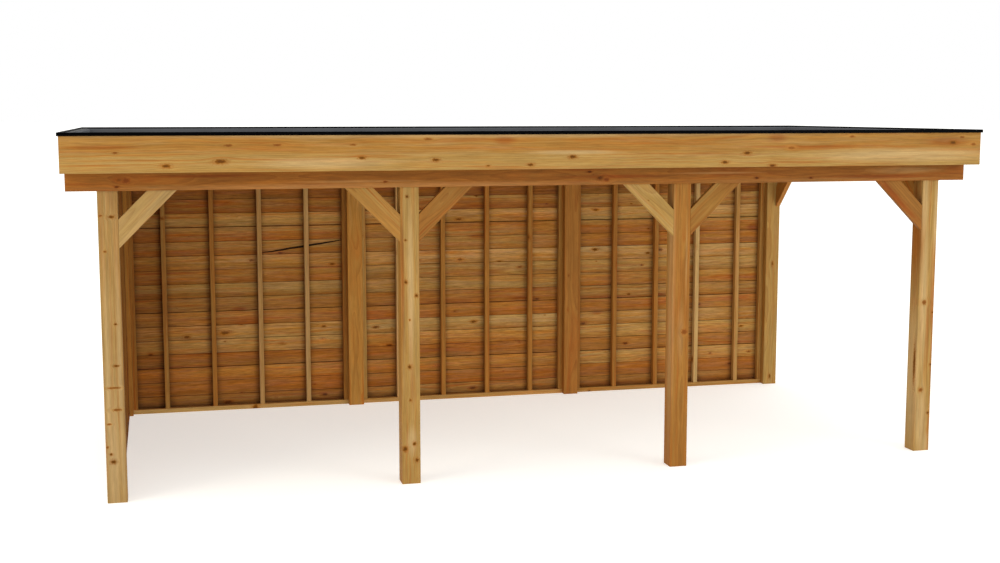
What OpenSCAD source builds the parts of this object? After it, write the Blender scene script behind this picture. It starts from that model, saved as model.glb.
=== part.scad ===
// Freestanding timber veranda with a flat roof.
// Three open bays in front, a boarded back wall, a boarded left side and an open right side.
// Millimetres, +Z up. The front faces -Y and the open side faces +X.
// The origin is on the ground, under the middle of the roof's outline.

/* [Post grid] */
// Distance from one post to the next along the front
bay_pitch = 2295; // [1700:5:3000]
// Outside of the front posts to the outside of the back posts
frame_depth = 3285; // [2400:5:4500]
// Width of the square posts
post_w = 150; // [130:1:200]
// Height of the beams' undersides above the ground
post_h = 2400; // [1900:10:3000]
// Width of the chamfers along the posts, beams and braces
arris = 3; // [1:0.5:6]

/* [Beams and rafters] */
// Thickness of the beams
beam_t = 70; // [50:1:90]
// Height of the beams
beam_h = 195; // [155:5:260]
// How far the front and back beams stand proud of the posts' outer faces
beam_proud = 25; // [5:1:40]
// How far the front and back beams run past the end posts
beam_overhang = 225; // [100:5:400]
// Width of a rafter
rafter_w = 45; // [35:1:70]
// Height of a rafter
rafter_h = 145; // [115:5:220]
// Widest spacing of the rafters, centre to centre
rafter_pitch = 625; // [400:5:800]
// Thickness of the roof boards
deck_t = 20; // [15:1:30]
// Width that one roof board covers
deck_cover = 140; // [90:5:200]
// Depth of the V along each joint of the roof boards
deck_vee = 3; // [1:0.5:5]

/* [Roof edge] */
// Front posts' outer faces to the outer face of the front fascia
overhang_front = 230; // [100:5:400]
// Back posts' outer faces to the outer face of the back fascia
overhang_rear = 180; // [100:5:400]
// Thickness of the fascia boards
fascia_t = 22; // [18:1:30]
// Height of the fascia's lower edge above the beams' undersides
fascia_rise = 140; // [100:5:150]
// Height of the kerb battens round the roof
kerb_h = 62; // [40:1:90]
// Width of the kerb battens
kerb_w = 45; // [35:1:60]
// Thickness of the roof membrane
membrane_t = 3; // [2:0.5:5]
// Width of the edge trim's flange on the roof
trim_flange = 55; // [35:1:64]
// How far the edge trim stands out from the fascia
trim_proud = 12; // [8:1:20]
// Depth of the edge trim's nose below the flange
trim_drop = 12; // [5:1:25]
// Height of the edge trim's lip above the flange
trim_lip = 15; // [8:1:25]
// Thickness of the edge trim's metal
trim_t = 2.5; // [1.5:0.5:3]

/* [Walls] */
// Face width of the studs and height of the plates
stud_w = 45; // [38:1:60]
// Depth of the studs and plates
stud_d = 60; // [45:1:70]
// Spacing of the studs, centre to centre
stud_pitch = 469; // [350:1:650]
// Outside of the left posts to the centre of the first back stud
stud_first = 482; // [300:1:650]
// Least clear width between an end stud and the next one
stud_gap_min = 90; // [50:5:200]
// Thickness of a wall board at its lower edge
board_t = 20; // [18:1:28]
// Thickness of a wall board at its upper edge
board_top_t = 12; // [8:1:14]
// Height that one wall board covers
board_cover = 141; // [100:1:200]
// How far a wall board's upper edge stands up behind the board above
board_lap = 8; // [6:1:15]
// Height of the open joint between two wall boards, on their inner faces
board_joint = 6; // [2:1:10]
// Clearance between a wall board's upper edge and the rebate that it slips into
board_play = 0.5; // [0.3:0.1:1]
// Height of the lowest board above the ground
board_clear = 5; // [5:1:60]
// How far the left wall's outer face is set in from the posts' outer faces
side_inset = 33; // [0:1:40]

/* [Knee braces] */
// Distance from the post, and below the beam, to a brace's lower edge
brace_reach = 435; // [330:5:700]
// Width of a brace
brace_w = 155; // [100:5:180]
// Thickness of a brace
brace_t = 50; // [40:1:70]

/* [Hidden] */
BAYS = 3;
POSTS = BAYS + 1;

TIMBER = "#b98a4e";
BEAM_TIMBER = "#8a5226";
BOARDING = "#8c5a2b";
SHEET = "#55575a";
BLACK = "#1b1c1e";

// Plan: outside of the posts, outside of the fascia, and outside of the trim.
frame_len = BAYS * bay_pitch + post_w;
beam_len = frame_len + 2 * beam_overhang;
fascia_len = beam_len + 2 * fascia_t;
fascia_depth = overhang_front + frame_depth + overhang_rear;
trim_len = fascia_len + 2 * trim_proud;
trim_depth = fascia_depth + 2 * trim_proud;

x_left = -frame_len / 2;
x_right = frame_len / 2;
y_fascia_front = -fascia_depth / 2;
y_fascia_back = fascia_depth / 2;
y_front = y_fascia_front + overhang_front;
y_back = y_fascia_back - overhang_rear;

// Heights, from the ground up.
beam_top = post_h + beam_h;
rafter_top = beam_top + rafter_h;
deck_top = rafter_top + deck_t;
kerb_top = deck_top + kerb_h;
membrane_top = kerb_top + membrane_t;
fascia_bottom = post_h + fascia_rise;

// The beam sits this deep in the head of a post.
housing = beam_t - beam_proud;
// The roof boards and rafters fill the space inside the fascia.
roof_in_len = beam_len;
roof_in_depth = fascia_depth - 2 * fascia_t;

function post_x(i) = x_left + i * bay_pitch;
function bay_x0(i) = post_x(i) + post_w;
function bay_x1(i) = post_x(i + 1);

module block(x0, x1, y0, y1, z0, z1) {
    translate([x0, y0, z0]) cube([x1 - x0, y1 - y0, z1 - z0]);
}

// Cross-section of a planed timber, with its corners chamfered.
module planed(x0, x1, y0, y1) {
    polygon([
        [x0 + arris, y0], [x1 - arris, y0], [x1, y0 + arris], [x1, y1 - arris],
        [x1 - arris, y1], [x0 + arris, y1], [x0, y1 - arris], [x0, y0 + arris],
    ]);
}

// Stands an outline up and draws it out along +X, from the origin.
module draw_along_x(run) {
    rotate([90, 0, 90]) linear_extrude(run) children();
}

// Stands an outline up and draws it out along -Y, from the origin.
module draw_to_front(run) {
    rotate([90, 0, 0]) linear_extrude(run) children();
}

// A post with its head cut back to a tongue behind the beam.
// out is -1 for a front post and 1 for a back post; side is -1 at the left end of the row,
// 1 at the right end, and 0 between, where no side beam rests.
module post(x, y, out, side) {
    color(TIMBER)
    difference() {
        linear_extrude(beam_top) planed(x, x + post_w, y, y + post_w);
        if (out < 0)
            block(x - 1, x + post_w + 1, y - 1, y + housing, post_h, beam_top + 1);
        else
            block(x - 1, x + post_w + 1, y + post_w - housing, y + post_w + 1, post_h, beam_top + 1);
        if (side < 0)
            block(x - 1, x + beam_t, y - 1, y + post_w + 1, post_h, beam_top + 1);
        if (side > 0)
            block(x + post_w - beam_t, x + post_w + 1, y - 1, y + post_w + 1, post_h, beam_top + 1);
    }
}

function row_end(i) = i == 0 ? -1 : (i == POSTS - 1 ? 1 : 0);

module post_front(i) post(post_x(i), y_front, -1, row_end(i));
module post_back(i) post(post_x(i), y_back - post_w, 1, row_end(i));

module beam_front() {
    color(BEAM_TIMBER)
    translate([-beam_len / 2, 0, 0]) draw_along_x(beam_len)
        planed(y_front - beam_proud, y_front + housing, post_h, beam_top);
}

module beam_back() {
    color(BEAM_TIMBER)
    translate([-beam_len / 2, 0, 0]) draw_along_x(beam_len)
        planed(y_back - housing, y_back + beam_proud, post_h, beam_top);
}

// The side beams run from the front beam to the back beam, flush with the posts' outer faces.
module beam_side(x) {
    y0 = y_front + housing;
    y1 = y_back - housing;
    color(BEAM_TIMBER)
    translate([0, y1, 0]) draw_to_front(y1 - y0) planed(x, x + beam_t, post_h, beam_top);
}

// A knee brace, lying on its face in the corner of a post (-X) and a beam (+Y): a timber at
// 45 degrees whose ends are cut off along the two.
module brace() {
    intersection() {
        linear_extrude(brace_t) polygon([[0, 0], [brace_reach, 0], [0, -brace_reach]]);
        translate([0, -brace_reach, 0]) rotate(45)
            draw_along_x(brace_reach * sqrt(2)) planed(0, brace_w, 0, brace_t);
    }
}

// Front braces, flush with the posts' front faces: odd ones lean right, even ones lean left.
module brace_front(i) {
    post_no = floor(i / 2);
    to_right = i % 2 == 1;
    x = to_right ? post_x(post_no) + post_w : post_x(post_no);
    color(TIMBER)
    translate([x, y_front + brace_t, post_h])
        mirror([to_right ? 0 : 1, 0, 0])
            rotate([90, 0, 0]) brace();
}

// Braces of the open side, flush with the posts' outer faces.
module brace_right(at_front) {
    y = at_front ? y_front + post_w : y_back - post_w;
    color(TIMBER)
    translate([x_right - brace_t, y, post_h])
        mirror([0, at_front ? 0 : 1, 0])
            rotate([90, 0, 90]) brace();
}

// Back wall: its boards are flush with the posts' outer faces.
y_stud_out = y_back - board_t;
y_stud_in = y_stud_out - stud_d;

module plates_back(z) {
    color(TIMBER)
    for (i = [0 : BAYS - 1])
        block(bay_x0(i), bay_x1(i), y_stud_in, y_stud_out, z, z + stud_w);
}

// The studs between the end studs stand on one grid that runs the whole length of the wall.
function stud_x(k) = x_left + stud_first + k * stud_pitch - stud_w / 2;
function stud_fits(i, x) =
    x >= bay_x0(i) + stud_w + stud_gap_min && x + stud_w <= bay_x1(i) - stud_w - stud_gap_min;

module studs_back(i) {
    last = ceil(frame_len / stud_pitch);
    grid = [for (k = [0 : last]) if (stud_fits(i, stud_x(k))) stud_x(k)];
    color(TIMBER)
    for (x = concat([bay_x0(i)], grid, [bay_x1(i) - stud_w]))
        block(x, x + stud_w, y_stud_in, y_stud_out, stud_w, post_h - stud_w);
}

// Wall boards between the ground clearance and the beams, all covering the same height.
wall_h = post_h - board_clear;
boards_high = round(wall_h / board_cover);
cover = wall_h / boards_high;

// A board's thickness at a height above its lower edge.
function board_thick(up) = board_t - (board_t - board_top_t) * up / (cover + board_lap);

// Cross-section of wall board k, counted from 0 at the bottom. Its flat inner face is on the axis
// and it tapers upwards. The upper edge slips into a rebate in the board above, and the top board
// is cut off level with the wall.
module board_outline(k) {
    low = k * cover;
    high = min(low + cover + board_lap, wall_h);
    rebate_d = board_thick(cover) + board_play;
    rebate_top = low + board_lap + board_joint;
    polygon([
        [rebate_d, low], [board_t, low], [board_thick(high - low), high], [0, high],
        [0, rebate_top], [rebate_d, rebate_top],
    ]);
}

module cladding_back(i) {
    color(BOARDING)
    for (k = [0 : boards_high - 1])
        translate([bay_x0(i), y_stud_out, board_clear])
            draw_along_x(bay_x1(i) - bay_x0(i)) board_outline(k);
}

// Left wall, between the left posts.
x_wall_out = x_left + side_inset;
x_wall_stud = x_wall_out + board_t;
y_wall_0 = y_front + post_w;
y_wall_1 = y_back - post_w;

module plate_left(z) {
    color(TIMBER)
    block(x_wall_stud, x_wall_stud + stud_d, y_wall_0, y_wall_1, z, z + stud_w);
}

module studs_left() {
    run = y_wall_1 - y_wall_0 - stud_w;
    gaps = ceil(run / stud_pitch);
    color(TIMBER)
    for (k = [0 : gaps])
        block(x_wall_stud, x_wall_stud + stud_d,
              y_wall_0 + k * run / gaps, y_wall_0 + k * run / gaps + stud_w,
              stud_w, post_h - stud_w);
}

module cladding_left() {
    color(BOARDING)
    for (k = [0 : boards_high - 1])
        translate([x_wall_stud, y_wall_1, board_clear])
            draw_to_front(y_wall_1 - y_wall_0) mirror([1, 0]) board_outline(k);
}

module rafters() {
    run = roof_in_len - rafter_w;
    gaps = ceil(run / rafter_pitch);
    color(TIMBER)
    for (k = [0 : gaps]) {
        x = -roof_in_len / 2 + k * run / gaps;
        block(x, x + rafter_w, -roof_in_depth / 2, roof_in_depth / 2, beam_top, rafter_top);
    }
}

// Cross-section of the roof boards. They are tongued and grooved into one deck, with a V along
// each joint of the underside.
module deck_outline() {
    count = round(roof_in_depth / deck_cover);
    width = roof_in_depth / count;
    polygon(concat(
        [[roof_in_depth, 0], [roof_in_depth, deck_t], [0, deck_t], [0, 0]],
        [for (i = [1 : count - 1]) each [
            [i * width - deck_vee, 0], [i * width, deck_vee], [i * width + deck_vee, 0],
        ]]
    ));
}

module roof_deck() {
    color(TIMBER)
    translate([-roof_in_len / 2, -roof_in_depth / 2, rafter_top])
        draw_along_x(roof_in_len) deck_outline();
}

// Kerb battens on the roof boards: two long ones, and two short ones between them.
module kerb_long() {
    color(TIMBER)
    for (s = [0, 1]) mirror([0, s, 0])
        block(-roof_in_len / 2, roof_in_len / 2,
              roof_in_depth / 2 - kerb_w, roof_in_depth / 2, deck_top, kerb_top);
}

module kerb_short() {
    color(TIMBER)
    for (s = [0, 1]) mirror([s, 0, 0])
        block(roof_in_len / 2 - kerb_w, roof_in_len / 2,
              kerb_w - roof_in_depth / 2, roof_in_depth / 2 - kerb_w, deck_top, kerb_top);
}

// A box centred on the roof, made smaller by inset on all four sides.
module roof_plan(inset, z0, z1) {
    block(inset - fascia_len / 2, fascia_len / 2 - inset,
          inset - fascia_depth / 2, fascia_depth / 2 - inset, z0, z1);
}

// One sheet: over the roof boards, up the kerb, and over the kerb and the fascia.
module roof_membrane() {
    to_kerb = fascia_t + kerb_w;
    color(SHEET)
    difference() {
        union() {
            roof_plan(to_kerb, deck_top, membrane_top);
            roof_plan(0, kerb_top, membrane_top);
        }
        roof_plan(to_kerb + membrane_t, deck_top + membrane_t, membrane_top + 1);
    }
}

module fascia_long(side) {
    color(TIMBER)
    mirror([0, side < 0 ? 1 : 0, 0])
        block(-fascia_len / 2, fascia_len / 2, fascia_depth / 2 - fascia_t, fascia_depth / 2,
              fascia_bottom, kerb_top);
}

module fascia_short(side) {
    color(TIMBER)
    mirror([side < 0 ? 1 : 0, 0, 0])
        block(fascia_len / 2 - fascia_t, fascia_len / 2,
              fascia_t - fascia_depth / 2, fascia_depth / 2 - fascia_t, fascia_bottom, kerb_top);
}

// Cross-section of the metal roof edge: a flange on the membrane, a nose that hangs clear of
// the fascia, and a lip with a folded top. Across is outwards from the fascia's face.
module trim_outline() {
    hem = 3 * trim_t;
    polygon([
        [-trim_flange, 0], [trim_proud - trim_t, 0],
        [trim_proud - trim_t, -trim_drop], [trim_proud, -trim_drop],
        [trim_proud, trim_lip], [trim_proud - hem, trim_lip],
        [trim_proud - hem, trim_lip - trim_t], [trim_proud - trim_t, trim_lip - trim_t],
        [trim_proud - trim_t, trim_t], [-trim_flange, trim_t],
    ]);
}

// One length of trim along +Y's side of a roof that is run long and span deep,
// cut at 45 degrees where it meets its neighbours.
module trim_side(run, span) {
    mitre = trim_proud + trim_flange + 1;
    low = membrane_top - trim_drop;
    color(BLACK)
    intersection() {
        translate([-run / 2, span / 2 - trim_proud, membrane_top])
            draw_along_x(run) trim_outline();
        translate([0, 0, low - 1]) linear_extrude(trim_drop + trim_lip + 2)
            polygon([
                [-run / 2, span / 2], [run / 2, span / 2],
                [run / 2 - mitre, span / 2 - mitre], [mitre - run / 2, span / 2 - mitre],
            ]);
    }
}

post_front(0);  // post_front_1
post_front(1);  // post_front_2
post_front(2);  // post_front_3
post_front(3);  // post_front_4
post_back(0);  // post_back_1
post_back(1);  // post_back_2
post_back(2);  // post_back_3
post_back(3);  // post_back_4
beam_front();
beam_back();
beam_side(x_left);  // beam_left
beam_side(x_right - beam_t);  // beam_right
brace_front(1);  // brace_front_1
brace_front(2);  // brace_front_2
brace_front(3);  // brace_front_3
brace_front(4);  // brace_front_4
brace_front(5);  // brace_front_5
brace_front(6);  // brace_front_6
brace_right(true);  // brace_right_1
brace_right(false);  // brace_right_2
plates_back(0);  // sole_plates_back
plates_back(post_h - stud_w);  // top_plates_back
studs_back(0);  // studs_back_1
studs_back(1);  // studs_back_2
studs_back(2);  // studs_back_3
cladding_back(0);  // cladding_back_1
cladding_back(1);  // cladding_back_2
cladding_back(2);  // cladding_back_3
plate_left(0);  // sole_plate_left
plate_left(post_h - stud_w);  // top_plate_left
studs_left();
cladding_left();
rafters();
roof_deck();
kerb_long();
kerb_short();
roof_membrane();
fascia_long(-1);  // fascia_front
fascia_long(1);  // fascia_back
fascia_short(-1);  // fascia_left
fascia_short(1);  // fascia_right
mirror([0, 1, 0]) trim_side(trim_len, trim_depth);  // trim_front
trim_side(trim_len, trim_depth);  // trim_back
rotate([0, 0, 90]) trim_side(trim_depth, trim_len);  // trim_left
rotate([0, 0, -90]) trim_side(trim_depth, trim_len);  // trim_right
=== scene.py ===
"""A freestanding veranda: Douglas fir posts, beams, braces and boards under a flat rubber roof."""
import math
import random
from functools import partial
from types import SimpleNamespace

import bmesh
import bpy
from bpy.props import FloatProperty, FloatVectorProperty, PointerProperty
from mathutils import Matrix, Vector, noise


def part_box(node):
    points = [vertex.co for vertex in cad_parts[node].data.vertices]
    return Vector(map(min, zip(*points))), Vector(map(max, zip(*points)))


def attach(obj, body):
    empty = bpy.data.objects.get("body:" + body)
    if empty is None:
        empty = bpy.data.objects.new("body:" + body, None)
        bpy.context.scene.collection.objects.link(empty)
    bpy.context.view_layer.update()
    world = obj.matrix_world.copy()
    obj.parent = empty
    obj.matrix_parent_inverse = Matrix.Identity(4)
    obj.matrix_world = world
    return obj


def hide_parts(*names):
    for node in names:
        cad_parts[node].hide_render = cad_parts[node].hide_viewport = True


bl_info = {
    "name": "Freestanding veranda",
    "version": (1, 0, 0),
    "blender": (4, 5, 0),
    "location": "3D View > Sidebar > Veranda",
    "description": "Builds the timber, the roof and the stage of a freestanding veranda",
    "category": "Add Mesh",
}

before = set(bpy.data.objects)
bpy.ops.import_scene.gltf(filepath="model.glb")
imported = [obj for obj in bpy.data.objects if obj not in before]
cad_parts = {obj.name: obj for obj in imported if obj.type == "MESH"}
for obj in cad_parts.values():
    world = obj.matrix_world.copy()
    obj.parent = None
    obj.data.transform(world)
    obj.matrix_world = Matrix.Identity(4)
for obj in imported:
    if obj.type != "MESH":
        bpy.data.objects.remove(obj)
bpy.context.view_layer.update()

ALONG_X, ALONG_Y = 0, 1
WELD = 1e-5                  # metres within which the vertices of a CAD node are one
FLAT = math.radians(1)       # two faces that meet at less than this are one
SHARP = math.radians(20)     # an outer edge that turns by more than this is eased
LOG_RUN = 40                 # metres of trunk that each piece's place is drawn from
END_GRAIN = 0.6              # a face is end grain where its normal lies this much along the piece
END_DIRT = 0.25              # open pores drink in dirt
BAYS = (1, 2, 3)


def srgb(code):
    """A colour written as sRGB hex, as the linear RGBA that shaders use."""
    parts = [int(code[i:i + 2], 16) / 255 for i in (1, 3, 5)]
    linear = [p / 12.92 if p <= 0.04045 else ((p + 0.055) / 1.055) ** 2.4 for p in parts]
    return (*linear, 1.0)


# ---- Settings ----

def colour(name, description, code):
    return FloatVectorProperty(
        name=name, description=description, subtype="COLOR", size=4, min=0, max=1,
        default=srgb(code))


def length(name, description, metres):
    return FloatProperty(
        name=name, description=description, default=metres, min=0,
        subtype="DISTANCE", unit="LENGTH")


def amount(name, description, value):
    return FloatProperty(name=name, description=description, default=value)


class VERANDA_PG_wood(bpy.types.PropertyGroup):
    """Colours and sizes of the timber"""
    sapwood: colour("Sapwood", "Young outer wood, straw coloured", "#a07e42")
    heartwood: colour("Heartwood", "Old inner wood, orange brown", "#9b6f30")
    streak: colour("Streak", "Slow grown, resinous bands", "#884d15")
    latewood: colour("Latewood", "Dark line that ends each year's growth", "#754312")
    ruddy: colour("Ruddy", "Filter that warms a red timber", "#ffdcb8")
    cream: colour("Cream", "Tone that a pale timber leans to", "#ae9366")
    weathered: colour("Weathered", "Mauve tone of sawn wood that has begun to weather", "#8c6c5c")
    knot: colour("Knot", "Middle of a dead knot", "#5c3400")
    knot_rim: colour("Knot rim", "Bark ring and resin round a knot", "#82500c")
    branch: colour("Branch", "Middle of a sound knot", "#784713")
    branch_rim: colour("Branch rim", "Edge of a sound knot", "#8f5a22")
    ring: length("Growth ring", "Width of one year's growth, drawn coarse so that it shows", 0.012)
    post_arris: length("Post arris", "Rounding beside the chamfers of posts, beams and braces", 0.001)
    framing_arris: length("Framing arris", "Rounding along studs, rafters and fascias", 0.003)
    board_arris: length("Board arris", "Rounding along the edges of wall boards", 0.0015)
    roof_arris: length("Roof board arris", "Rounding along the edges of roof boards", 0.002)
    board_play: length("Board play", "How far the joint under a wall board may open or close", 0.0025)
    roof_board: length("Roof board", "Width that one roof board covers", 0.140)


class VERANDA_PG_roof(bpy.types.PropertyGroup):
    """Colours and sizes of the roof covering"""
    rubber: colour("Rubber", "Roof sheet", "#55575b")
    dust: colour("Dust", "Dried rain marks on the sheet", "#5e6064")
    coating: colour("Coating", "Coated metal of the roof edge", "#010102")
    trim_arris: length("Trim arris", "Rounding along the edges of the coated metal", 0.0006)
    sheet: length("Sheet", "Thickness of the roof sheet", 0.003)
    fold: length("Fold", "Radius of the sheet's folds at the kerb", 0.012)
    sag: length("Sag", "Depth of the sheet's shallow dips", 0.0015)


class VERANDA_PG_stage(bpy.types.PropertyGroup):
    """Camera, floor and lights"""
    camera: FloatVectorProperty(
        name="Camera", description="Place of the camera", subtype="TRANSLATION", unit="LENGTH",
        default=(-3.083, -12.358, 2.984))
    turn: FloatProperty(
        name="Turn", description="How far the camera looks to the right of straight ahead",
        subtype="ANGLE", unit="ROTATION", default=math.radians(13.968))
    dip: FloatProperty(
        name="Dip", description="How far the camera looks down",
        subtype="ANGLE", unit="ROTATION", default=math.radians(6.985))
    lens: amount("Lens", "Focal length in millimetres", 49.692)
    sky: amount("Sky", "Strength of the white surroundings", 1.0)
    key: amount("Key", "Strength of each of the two soft lamps", 0.43)
    floor: colour("Floor", "Pale studio floor", "#e2e2df")
    glow: amount("Glow", "Light that the floor gives off by itself", 0.72)


# ---- Solids ----

def cad_solids(node):
    """A CAD node as a bmesh whose flat faces are whole."""
    bm = bmesh.new()
    bm.from_mesh(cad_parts[node].data)
    bmesh.ops.remove_doubles(bm, verts=bm.verts, dist=WELD)
    bmesh.ops.dissolve_limit(bm, angle_limit=FLAT, verts=bm.verts, edges=bm.edges)
    return bm


def ease(bm, arris, segments=2):
    """Rounds the outer edges, as planing and handling do."""
    sharp = [e for e in bm.edges if e.is_convex and e.calc_face_angle(0) > SHARP]
    bmesh.ops.bevel(bm, geom=sharp, offset=arris, segments=segments, profile=0.5,
                    affect="EDGES", clamp_overlap=True)


def prism(bm, outline, axis, start, end):
    """Extrudes an outline, given in the axis's other two directions, from start to end along it."""
    def point(a, b, along):
        place = [a, b]
        place.insert(axis, along)
        return bm.verts.new(place)
    near = [point(a, b, start) for a, b in outline]
    far = [point(a, b, end) for a, b in outline]
    faces = [bm.faces.new(near), bm.faces.new(far[::-1])]
    for i in range(len(outline)):
        faces.append(bm.faces.new((near[i], near[i - 1], far[i - 1], far[i])))
    bmesh.ops.recalc_face_normals(bm, faces=faces)


def separate_solids(bm):
    """The vertices of each solid in a bmesh, ordered by their lowest corners' X, Y and Z."""
    bm.verts.index_update()
    seen, found = set(), []
    for first in bm.verts:
        if first.index in seen:
            continue
        seen.add(first.index)
        solid, reach = [], [first]
        while reach:
            vert = reach.pop()
            solid.append(vert)
            for edge in vert.link_edges:
                other = edge.other_vert(vert)
                if other.index not in seen:
                    seen.add(other.index)
                    reach.append(other)
        found.append(solid)
    return sorted(
        found, key=lambda solid: [round(min(v.co[i] for v in solid), 3) for i in range(3)])


class Cut(SimpleNamespace):
    """How a timber was cut from its log, in metres from its low corner.

    pith is the place of the log's middle, (across, depth), and heart the heartwood's radius. shade and
    warmth are how much lighter and redder the timber is than most. Knots, branches (sound knots),
    resin and pale wood are spots, (along, across, depth, radius, stretch), where stretch is how much
    longer a spot is along the grain than across it."""
    pith = (0.07, 0.07)
    heart = 0.08
    shade = warmth = 0.0
    knots = branches = resin = pale = ()


def any_cut(rng, across, depth, shade, warmth, spread):
    """A cut as the saw happens to leave it: spread is how much the tones differ about the given
    ones. Dark pieces are mostly the redder ones."""
    dark = rng.uniform(-1, 1)
    return Cut(
        pith=(rng.uniform(-0.3, 1.3) * across,
              rng.choice((-1, 1)) * rng.uniform(0.02, 0.12) + depth / 2),
        heart=rng.uniform(0.03, 0.2),
        shade=shade - dark * spread,
        warmth=warmth + (1.2 * dark + 0.6 * rng.uniform(-1, 1)) * spread)


def lay_grain(bm, rng, cut=None, turn=None, shade=0.0, warmth=0.0, spread=0.12, tones=()):
    """Gives each solid its place in the log, which the wood's material reads. turn lays a slanting
    timber along an axis. Where tones holds a (shade, warmth) for each solid, in the order that
    separate_solids gives, they take the place of drawn ones.

    The layers are: place, metres along, across and through the piece; log, the same from the pith;
    tone, the heartwood's radius, the shade and the warmth; dirt, the share of light that dirt takes on
    end grain, and painted shade in the split."""
    place = bm.verts.layers.float_vector.new("place")
    log = bm.verts.layers.float_vector.new("log")
    tone = bm.verts.layers.float_vector.new("tone")
    dirt = bm.faces.layers.float.new("dirt")
    turn = turn or Matrix.Identity(3)
    for index, solid in enumerate(separate_solids(bm)):
        points = [turn @ v.co for v in solid]
        low = Vector([min(p[i] for p in points) for i in range(3)])
        size = [max(p[i] for p in points) - low[i] for i in range(3)]
        order = sorted(range(3), key=lambda i: -round(size[i], 3))
        made = cut or any_cut(rng, size[order[1]], size[order[2]], shade, warmth, spread)
        if tones:
            made.shade, made.warmth = tones[index]
        start = rng.uniform(0, LOG_RUN)
        for vert, point in zip(solid, points):
            along, across, depth = ((point - low)[i] for i in order)
            vert[place] = (along, across, depth)
            vert[log] = (along + start, across - made.pith[0], depth - made.pith[1])
            vert[tone] = (made.heart, made.shade, made.warmth)
        for face in {f for v in solid for f in v.link_faces}:
            face[dirt] = END_DIRT if abs((turn @ face.normal)[order[0]]) > END_GRAIN else 0.0


def piece(name, bm, material, slot, *nodes):
    """Makes a bmesh into a piece that rides on the frame and stands for its CAD nodes."""
    mesh = bpy.data.meshes.new(name)
    bm.to_mesh(mesh)
    bm.free()
    mesh.materials.append(material)
    obj = bpy.data.objects.new(name, mesh)
    bpy.context.scene.collection.objects.link(obj)
    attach(obj, "root")
    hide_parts(*nodes)
    return obj


def timber(node, material, slot, arris, cut=None, turn=None, **grain):
    """Dresses a CAD node's timbers: the same solids with eased edges and a grain of their own."""
    bm = cad_solids(node)
    ease(bm, arris)
    lay_grain(bm, random.Random(node), cut, turn, **grain)
    return piece(f"{node}_timber", bm, material, slot, node)


# ---- Materials ----

def add_node(tree, kind, inputs=(), stops=None, **settings):
    """Adds a node and returns its outputs. inputs are given by name or number, or in order from the
    first, and each is a value or the socket that feeds it."""
    node = tree.nodes.new(f"ShaderNode{kind}")
    for name, value in settings.items():
        setattr(node, name, value)
    pairs = inputs.items() if isinstance(inputs, dict) else enumerate(inputs)
    for key, value in pairs:
        if isinstance(value, bpy.types.NodeSocket):
            tree.links.new(value, node.inputs[key])
        else:
            node.inputs[key].default_value = value
    if stops:
        ramp = node.color_ramp.elements
        while len(ramp) < len(stops):
            ramp.new(0.5)
        for element, (position, value) in zip(ramp, stops):
            element.position = position
            element.color = value
    return node.outputs


def new_material(name):
    """An empty material, and the function that adds nodes to it."""
    material = bpy.data.materials.new(name)
    material.use_nodes = True
    material.node_tree.nodes.clear()
    return material, partial(add_node, material.node_tree)


def surface(add, height=None, relief=0.0, **sockets):
    """Ends a material with its shader, and with a bump of the given relief in metres."""
    inputs = {name.replace("_", " "): value for name, value in sockets.items()}
    if height:
        inputs["Normal"] = add("Bump", {"Strength": 1.0, "Distance": relief, "Height": height})[0]
    shader = add("BsdfPrincipled", inputs)[0]
    add("OutputMaterial", {"Surface": shader})


class Finish(SimpleNamespace):
    """How a timber's surface was made and weathered, and where shade is painted on it.

    relief is the height of the fibres in metres, and mottle and patch are how much the fibres and the
    streaks vary its lightness. knots is the radius of the largest scattered knot, and lower_edge_dark
    the height of the darker strip along a board's lower edge, both in metres. corner_shade is the share
    of light that painted shade takes in a corner, and weather the most that the weathered tone covers."""
    knots = lower_edge_dark = corner_shade = weather = 0.0


# Planed by machine: smooth, with a faint silky gloss. The front's knots are listed one by one instead.
PLANED = Finish(roughness=0.62, relief=0.0006, mottle=0.11, patch=0.13, knots=0.014)
PLANED_FRONT = Finish(roughness=0.62, relief=0.0006, mottle=0.11, patch=0.13)
PLANED_BEAM = Finish(roughness=0.62, relief=0.0006, mottle=0.16, patch=0.16)
# Cut by a fine saw: matt and a little furry, darker along the lower edges, with painted shade in the
# corners.
SAWN = Finish(
    roughness=0.8, relief=0.0012, mottle=0.30, patch=0.19, knots=0.012, lower_edge_dark=0.010, corner_shade=0.6,
    weather=0.2)

# Patterns of the wood, as changes per metre along, across and through the log.
FIBRES = (9, 130, 130)           # 110 mm long, and drawn 8 mm wide so that they show
STREAKS = (2.5, 32, 32)          # 400 mm long and 30 mm wide
SWEEP = (0.8, 3, 3)              # the trunk's own bends
WANDER = 0.04                    # metres that a bend moves the pith to either side, at most
BANDS_OUT, BANDS_ALONG = 48.0, 0.7    # resinous bands, 20 mm wide and over a metre long
BAND_SPREAD = 0.13               # how much the bands vary the lightness
HEART_EDGE = 0.025               # metres to either side over which sapwood turns to heartwood
LATE_POWER = 3.0                 # how late in the year the wood darkens
LATE_SHARE = 0.35                # how strongly the latewood shows
SWAY = 4                         # how much more the streaks vary the warmth than the lightness
CREAM_SHARE = 0.45               # how far a pale timber leans to cream

# Knots, whose distances are measured in their own radii.
STRETCH = 2.2                    # a scattered knot is this much longer along the grain
KNOT_DEEP = 0.35                 # a knot's size across, over its length into the wood
KNOT_CELL = (0.42, 0.12, 0.16)   # metres between scattered knots, along, across and through
PUSH = 0.75                      # radii by which the grain beside a knot is pushed aside
TORN_EDGES = 70.0                # changes per metre of a knot's ragged edge: 14 mm
TORN_SPREAD = 0.25               # how ragged the edge is
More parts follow.
